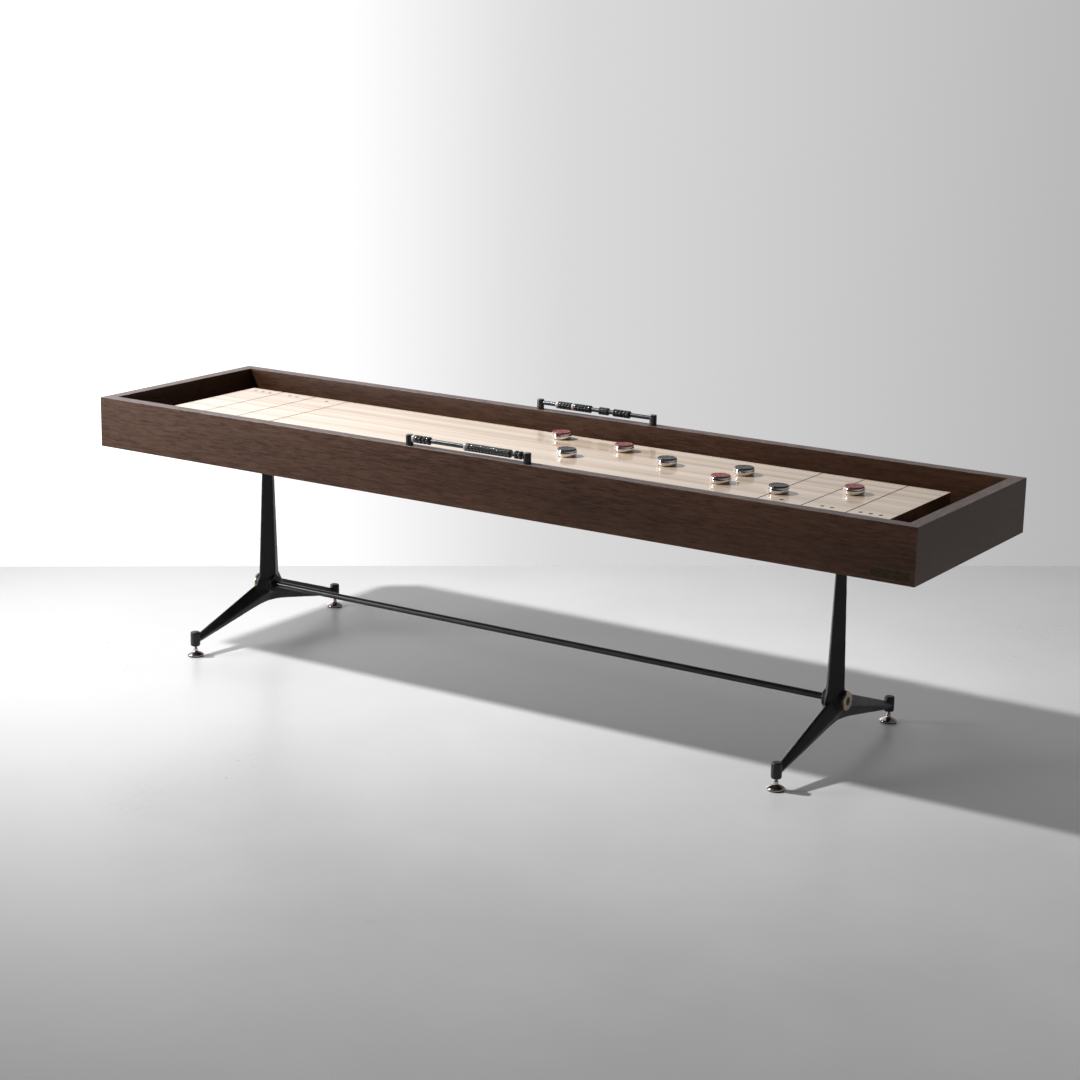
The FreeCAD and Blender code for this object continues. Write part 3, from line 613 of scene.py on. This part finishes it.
def stem(radius, length, base):
    """A threaded stem, plain where it sits in the pad's neck."""
    pitch = 1.5 * MM
    depth = 0.55 * MM
    plain = 13 * MM
    chamfer = 1 * MM
    steps = int(length / (0.25 * MM))

    def threaded(angle, r, h):
        """The stem's side cut by a helical groove."""
        if r < 0.9 * radius or h < plain or h > length - 1.5 * chamfer:
            return r, h
        turn = (h / pitch - angle / (2 * math.pi)) % 1.0
        return r - depth * abs(2 * turn - 1), h

    side = [(radius, length * i / steps) for i in range(steps)]
    profile = [(0, 0)] + side + [(radius - chamfer, length), (0, length)]
    return lathe(profile, base, segments=48, shape=threaded)


# -------------------------------------------------------------------- markings

def markings(mats):
    """Cross lines and spots set in the board's finish."""
    lo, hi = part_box("playfield")
    proud = 0.06 * MM
    sunk = 0.3 * MM
    half_line = 1.9 * MM
    margin = 1.5 * MM
    lines = []
    for distance in (0.125, 0.255, 0.3855):
        for centre in (lo.x + distance, hi.x - distance):
            lines.append(strip((centre - half_line, centre + half_line), (lo.y + margin, hi.y - margin),
                               hi.z, proud, sunk))
    vertices, faces = together(lines)
    mesh_piece("board_lines", vertices, faces, mats["ink"], TABLE, smooth=False)
    spot = 6 * MM
    profile = [(0, -sunk), (spot, -sunk), (spot, 0.6 * proud), (spot - 0.2 * MM, proud), (0, proud)]
    spots = []
    for end, inwards in ((hi.x, -1), (lo.x, 1)):
        for distance in (0.037, 0.066, 0.095, 0.177, 0.206, 0.326):
            spots.append(lathe(profile, (end + inwards * distance, inwards * 0.162, hi.z), segments=40))
    vertices, faces = together(spots)
    mesh_piece("board_spots", vertices, faces, mats["ink"], TABLE)


def strip(x_span, y_span, z, proud, sunk):
    """A thin bar let into the surface at z, with its upper edges eased."""
    ease = 0.25 * MM
    vertices = []
    for inset, height in ((0, -sunk), (0, proud * 0.5), (ease, proud)):
        left, right = x_span[0] + inset, x_span[1] - inset
        near, far = y_span[0] + inset, y_span[1] - inset
        for x, y in ((left, near), (right, near), (right, far), (left, far)):
            vertices.append((x, y, z + height))
    faces = [(3, 2, 1, 0), (8, 9, 10, 11)]
    for ring in (0, 4):
        for i in range(4):
            j = (i + 1) % 4
            faces.append((ring + i, ring + j, ring + 4 + j, ring + 4 + i))
    return vertices, faces


# ------------------------------------------------------------------- the stage

def floor():
    """A pale, faintly polished floor that ends in a straight line behind the table."""
    mat, tree, shader = new_material("floor", (0.62, 0.62, 0.63), 0.34, Specular_IOR_Level=0.5)
    cloud = noise(tree, place(tree), scale=1.1, detail=6.0, roughness=0.6)
    colour = ramp(tree, cloud, (0.3, (0.62, 0.62, 0.63)), (0.7, (0.70, 0.70, 0.71)))
    put(tree, shader.inputs["Base Color"], colour)
    put(tree, shader.inputs["Roughness"], span(tree, cloud, 0.3, 0.7, 0.26, 0.36))
    mesh = bpy.data.meshes.new("floor")
    turn = Matrix.Rotation(math.radians(37.2), 4, "Z")
    far, wide, near = 1.407, 30.0, 30.0
    corners = [(-wide, -near), (wide, -near), (wide, far), (-wide, far)]
    mesh.from_pydata([tuple(turn @ Vector((x, y, 0))) for x, y in corners], [], [(0, 1, 2, 3)])
    plane = bpy.data.objects.new("floor", mesh)
    bpy.context.scene.collection.objects.link(plane)
    mesh.materials.append(mat)


def world():
    """A soft pale room, bright to the left and dim to the right and behind the viewer."""
    surround = bpy.data.worlds.new("studio")
    bpy.context.scene.world = surround
    surround.use_nodes = True
    tree = surround.node_tree
    background = tree.nodes["Background"]
    x, y, z = split(tree, tree.nodes.new("ShaderNodeTexCoord").outputs["Generated"])
    heading = span(tree, calc(tree, "ARCTAN2", x, y), -math.pi, math.pi)
    # Brightness by heading in degrees, from straight across the table (0); the left is negative.
    room = [(-170, 0.06), (-140, 0.12), (-110, 0.55), (-60, 2.30), (-46, 2.10), (-40, 1.15), (-33, 0.71),
            (-20, 0.48), (0, 0.34), (50, 0.34), (110, 0.30), (175, 0.12)]
    brightest = max(level for angle, level in room)
    stops = [((angle + 180) / 360, (level / brightest,) * 3) for angle, level in room]
    ceiling = span(tree, z, 0.15, 0.8, 1.0, 0.30)
    shade = blend(tree, 1.0, ramp(tree, heading, *stops), join(tree, ceiling, ceiling, ceiling), "MULTIPLY")
    tree.links.new(shade, background.inputs["Color"])
    background.inputs["Strength"].default_value = brightest


def area_light(name, location, target, size, power, spread):
    """A square studio light of that size and power, its beam spread over so many degrees."""
    data = bpy.data.lights.new(name, "AREA")
    data.shape = "SQUARE"
    data.size = size
    data.energy = power
    data.spread = math.radians(spread)
    light = bpy.data.objects.new(name, data)
    bpy.context.scene.collection.objects.link(light)
    light.visible_camera = False
    light.location = location
    light.rotation_euler = (Vector(target) - Vector(location)).to_track_quat("-Z", "Y").to_euler()


def camera():
    """A long lens that looks a little down on the table from its front right corner."""
    data = bpy.data.cameras.new("camera")
    view = bpy.data.objects.new("camera", data)
    bpy.context.scene.collection.objects.link(view)
    bpy.context.scene.camera = view
    data.sensor_width = 36.0
    data.lens = 78.69
    data.shift_x, data.shift_y = 0.00065, -0.0052
    data.clip_start, data.clip_end = 0.1, 200.0
    turn = (Matrix.Rotation(math.radians(32.95), 4, "Z") @ Matrix.Rotation(math.radians(75.87), 4, "X")
            @ Matrix.Rotation(math.radians(1.09), 4, "Z"))
    view.matrix_world = Matrix.Translation((3.6742, -5.6317, 2.1644)) @ turn


mats = make_materials()
finish_cad_nodes(mats)
soften_castings()
weights(mats)
hub_bolts(mats)
feet(mats)
markings(mats)
floor()
world()
area_light("key", (-3.2, -1.25, 4.0), (0.3, 0.5, 0.4), 0.26, 55.0, spread=70)
area_light("side", (-3.3, -2.2, 1.3), (-0.9, -0.3, 0.6), 1.2, 27.0, spread=100)
camera()
bpy.context.scene.view_settings.view_transform = "Standard"
